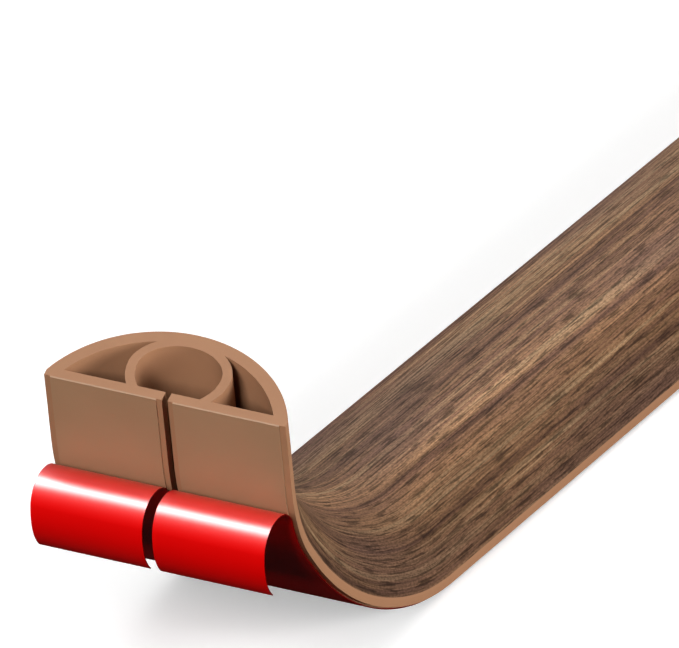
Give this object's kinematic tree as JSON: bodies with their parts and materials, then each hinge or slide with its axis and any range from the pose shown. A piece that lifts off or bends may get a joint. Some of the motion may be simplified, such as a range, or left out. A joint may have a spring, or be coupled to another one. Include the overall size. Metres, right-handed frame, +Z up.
{
  "type": "floor cord cover",
  "caption": "Flexible floor cord cover: domed wood-look strip with a split base, a cord channel and a curled end with peeled release liners.",
  "frame": {"origin": "on the floor, under the middle of the whole piece's bounding box", "axes": "+Y along the strip, away from its curled end; +X across its width; +Z up from the floor"},
  "size_m": [0.068, 0.9686, 0.1049],
  "materials": {
    "cover_plastic": "tan body with a brown wood grain finish on the dome, satin",
    "adhesive_tape": "smooth tacky tape the colour of the body",
    "release_liner": "glossy red film"
  },
  "bodies": {
    "root": {"cover_strip": "cover_plastic", "adhesive_tape_left": "adhesive_tape", "adhesive_tape_right": "adhesive_tape", "release_liner_left": "release_liner", "release_liner_right": "release_liner"}
  },
  "joints": []
}
